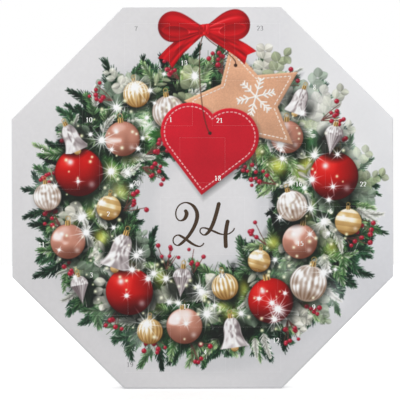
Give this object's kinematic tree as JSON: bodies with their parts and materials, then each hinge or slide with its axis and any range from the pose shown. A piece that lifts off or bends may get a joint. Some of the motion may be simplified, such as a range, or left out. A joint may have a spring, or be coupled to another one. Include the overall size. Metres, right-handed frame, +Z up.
{
  "type": "advent wreath calendar",
  "caption": "Flat octagonal board calendar printed with a festive wreath; hinged numbered doors hide tea lights in a moulded tray, with a glass holder behind the widest door.",
  "frame": {"origin": "centre of the box's outline where its bottom wall meets the surface it stands on, halfway through its depth", "axes": "+X to the right seen from the front, +Y towards the back panel, +Z up; the printed panel faces -Y"},
  "size_m": [0.37, 0.028, 0.37],
  "materials": {
    "printed_board": "offset-printed boxboard with a satin varnish",
    "plain_board": "uncoated white-lined boxboard, matt",
    "print_ink": "printing ink under a satin varnish",
    "tray_film": "thermoformed white film, satin",
    "wax": "coloured paraffin wax, slightly translucent",
    "cup": "clear moulded plastic",
    "wick": "braided cotton",
    "clear_glass": "pressed clear glass, fire-polished"
  },
  "bodies": {
    "case": {"front_carton": "printed_board", "back_carton": "plain_board", "tray": "tray_film", "glass_holder": "clear_glass", "tea_light_01": "wax", "tea_light_02": "wax", "tea_light_03": "wax", "tea_light_04": "wax", "tea_light_05": "wax", "tea_light_06": "wax", "tea_light_07": "wax", "tea_light_08": "wax", "tea_light_09": "wax", "tea_light_10": "wax", "tea_light_11": "wax", "tea_light_12": "wax", "tea_light_13": "wax", "tea_light_14": "wax", "tea_light_15": "wax", "tea_light_16": "wax", "tea_light_17": "wax", "tea_light_18": "wax", "tea_light_19": "wax", "tea_light_20": "wax", "tea_light_21": "wax", "tea_light_22": "wax", "tea_light_23": "wax", "tea_light_24": "wax"},
    "door_01": {"door_01": "printed_board"},
    "door_02": {"door_02": "printed_board"},
    "door_03": {"door_03": "printed_board"},
    "door_04": {"door_04": "printed_board"},
    "door_05": {"door_05": "printed_board"},
    "door_06": {"door_06": "printed_board"},
    "door_07": {"door_07": "printed_board"},
    "door_08": {"door_08": "printed_board"},
    "door_09": {"door_09": "printed_board"},
    "door_10": {"door_10": "printed_board"},
    "door_11": {"door_11": "printed_board"},
    "door_12": {"door_12": "printed_board"},
    "door_13": {"door_13": "printed_board"},
    "door_14": {"door_14": "printed_board"},
    "door_15": {"door_15": "printed_board"},
    "door_16": {"door_16": "printed_board"},
    "door_17": {"door_17": "printed_board"},
    "door_18": {"door_18": "printed_board"},
    "door_19": {"door_19": "printed_board"},
    "door_20": {"door_20": "printed_board"},
    "door_21": {"door_21": "printed_board"},
    "door_22": {"door_22": "printed_board"},
    "door_23": {"door_23": "printed_board"},
    "door_24": {"door_24": "printed_board"}
  },
  "joints": [
    {"name": "door_01_hinge", "type": "hinge", "parent": "case", "child": "door_01", "pos_m": [-0.0532, -0.014, 0.2768], "axis": [0, 0, -1], "range_deg": [0, 170]},
    {"name": "door_02_hinge", "type": "hinge", "parent": "case", "child": "door_02", "pos_m": [-0.0997, -0.014, 0.1544], "axis": [0, 0, -1], "range_deg": [0, 170]},
    {"name": "door_03_hinge", "type": "hinge", "parent": "case", "child": "door_03", "pos_m": [-0.1162, -0.014, 0.0932], "axis": [0, 0, -1], "range_deg": [0, 170]},
    {"name": "door_04_hinge", "type": "hinge", "parent": "case", "child": "door_04", "pos_m": [-0.0217, -0.014, 0.0378], "axis": [0, 0, -1], "range_deg": [0, 170]},
    {"name": "door_05_hinge", "type": "hinge", "parent": "case", "child": "door_05", "pos_m": [-0.1627, -0.014, 0.2156], "axis": [0, 0, -1], "range_deg": [0, 170]},
    {"name": "door_06_hinge", "type": "hinge", "parent": "case", "child": "door_06", "pos_m": [0.1193, -0.014, 0.1544], "axis": [0, 0, -1], "range_deg": [0, 170]},
    {"name": "door_07_hinge", "type": "hinge", "parent": "case", "child": "door_07", "pos_m": [-0.0752, -0.014, 0.3322], "axis": [0, 0, -1], "range_deg": [0, 170]},
    {"name": "door_08_hinge", "type": "hinge", "parent": "case", "child": "door_08", "pos_m": [0.0728, -0.014, 0.2768], "axis": [0, 0, -1], "range_deg": [0, 170]},
    {"name": "door_09_hinge", "type": "hinge", "parent": "case", "child": "door_09", "pos_m": [0.0728, -0.014, 0.0932], "axis": [0, 0, -1], "range_deg": [0, 170]},
    {"name": "door_10_hinge", "type": "hinge", "parent": "case", "child": "door_10", "pos_m": [-0.1162, -0.014, 0.2768], "axis": [0, 0, -1], "range_deg": [0, 170]},
    {"name": "door_11_hinge", "type": "hinge", "parent": "case", "child": "door_11", "pos_m": [-0.1627, -0.014, 0.1544], "axis": [0, 0, -1], "range_deg": [0, 170]},
    {"name": "door_12_hinge", "type": "hinge", "parent": "case", "child": "door_12", "pos_m": [0.0318, -0.014, 0.0378], "axis": [0, 0, -1], "range_deg": [0, 170]},
    {"name": "door_13_hinge", "type": "hinge", "parent": "case", "child": "door_13", "pos_m": [-0.0217, -0.014, 0.3322], "axis": [0, 0, -1], "range_deg": [0, 170]},
    {"name": "door_14_hinge", "type": "hinge", "parent": "case", "child": "door_14", "pos_m": [0.0098, -0.014, 0.0932], "axis": [0, 0, -1], "range_deg": [0, 170]},
    {"name": "door_15_hinge", "type": "hinge", "parent": "case", "child": "door_15", "pos_m": [0.0563, -0.014, 0.1544], "axis": [0, 0, -1], "range_deg": [0, 170]},
    {"name": "door_16_hinge", "type": "hinge", "parent": "case", "child": "door_16", "pos_m": [0.0563, -0.014, 0.2156], "axis": [0, 0, -1], "range_deg": [0, 170]},
    {"name": "door_17_hinge", "type": "hinge", "parent": "case", "child": "door_17", "pos_m": [-0.0532, -0.014, 0.0932], "axis": [0, 0, -1], "range_deg": [0, 170]},
    {"name": "door_18_hinge", "type": "hinge", "parent": "case", "child": "door_18", "pos_m": [-0.0217, -0.014, 0.2214], "axis": [0, 0, -1], "range_deg": [0, 170]},
    {"name": "door_19_hinge", "type": "hinge", "parent": "case", "child": "door_19", "pos_m": [-0.0752, -0.014, 0.0378], "axis": [0, 0, -1], "range_deg": [0, 170]},
    {"name": "door_20_hinge", "type": "hinge", "parent": "case", "child": "door_20", "pos_m": [-0.0997, -0.014, 0.2156], "axis": [0, 0, -1], "range_deg": [0, 170]},
    {"name": "door_21_hinge", "type": "hinge", "parent": "case", "child": "door_21", "pos_m": [0.0098, -0.014, 0.2768], "axis": [0, 0, -1], "range_deg": [0, 170]},
    {"name": "door_22_hinge", "type": "hinge", "parent": "case", "child": "door_22", "pos_m": [0.1193, -0.014, 0.2156], "axis": [0, 0, -1], "range_deg": [0, 170]},
    {"name": "door_23_hinge", "type": "hinge", "parent": "case", "child": "door_23", "pos_m": [0.0318, -0.014, 0.3322], "axis": [0, 0, -1], "range_deg": [0, 170]},
    {"name": "door_24_hinge", "type": "hinge", "parent": "case", "child": "door_24", "pos_m": [-0.0407, -0.014, 0.1578], "axis": [0, 0, -1], "range_deg": [0, 170]}
  ]
}
